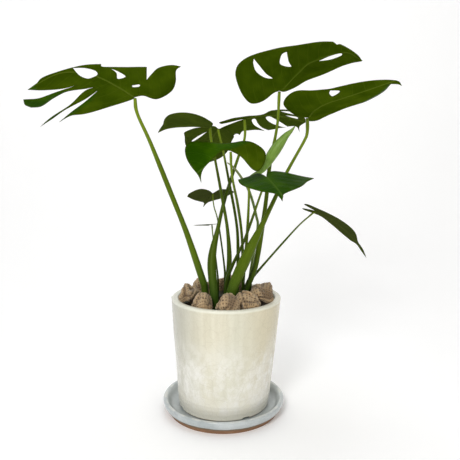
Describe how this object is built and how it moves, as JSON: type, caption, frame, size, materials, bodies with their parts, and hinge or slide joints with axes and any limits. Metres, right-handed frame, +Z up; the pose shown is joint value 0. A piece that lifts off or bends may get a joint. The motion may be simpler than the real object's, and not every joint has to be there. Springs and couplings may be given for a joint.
{
  "type": "potted plant",
  "caption": "Split-leaf houseplant with long arching stalks, in a tapered glazed stoneware pot with a burlap top dressing, standing on a shallow glazed saucer.",
  "frame": {"origin": "middle of the saucer's flat underside", "axes": "+Z up; +X to the plant's right and -Y towards its front, seen from the front"},
  "size_m": [0.4886, 0.2779, 0.5474],
  "materials": {
    "cream_crackle_glaze": "gloss",
    "blue_grey_glaze": "gloss",
    "potting_mix": "matte",
    "burlap": "matte",
    "leaf_green": "satin",
    "new_leaf_green": "satin",
    "stalk_green": "satin",
    "pale_sheath": "matte"
  },
  "bodies": {
    "root": {"saucer": "blue_grey_glaze", "pot": "cream_crackle_glaze", "potting_soil": "potting_mix", "burlap_left": "burlap", "burlap_back_left": "burlap", "burlap_back": "burlap", "burlap_front_left": "burlap", "burlap_front": "burlap", "burlap_front_right": "burlap", "burlap_right": "burlap", "petiole_upper_left": "stalk_green", "petiole_upper_right": "stalk_green", "petiole_right": "stalk_green", "petiole_back_split": "stalk_green", "petiole_left": "stalk_green", "petiole_left_back": "stalk_green", "petiole_front_left": "stalk_green", "petiole_front_right": "stalk_green", "petiole_unfurling": "stalk_green", "petiole_small_left": "stalk_green", "petiole_tiny_left": "stalk_green", "petiole_low_right": "stalk_green", "leaf_upper_left": "leaf_green", "leaf_upper_right": "leaf_green", "leaf_right": "leaf_green", "leaf_back_split": "leaf_green", "leaf_left": "leaf_green", "leaf_left_back": "leaf_green", "leaf_front_left": "leaf_green", "leaf_front_right": "leaf_green", "leaf_small_left": "leaf_green", "leaf_tiny_left": "leaf_green", "leaf_low_right": "leaf_green", "leaf_unfurling": "new_leaf_green", "sheath_tip": "pale_sheath"}
  },
  "joints": []
}
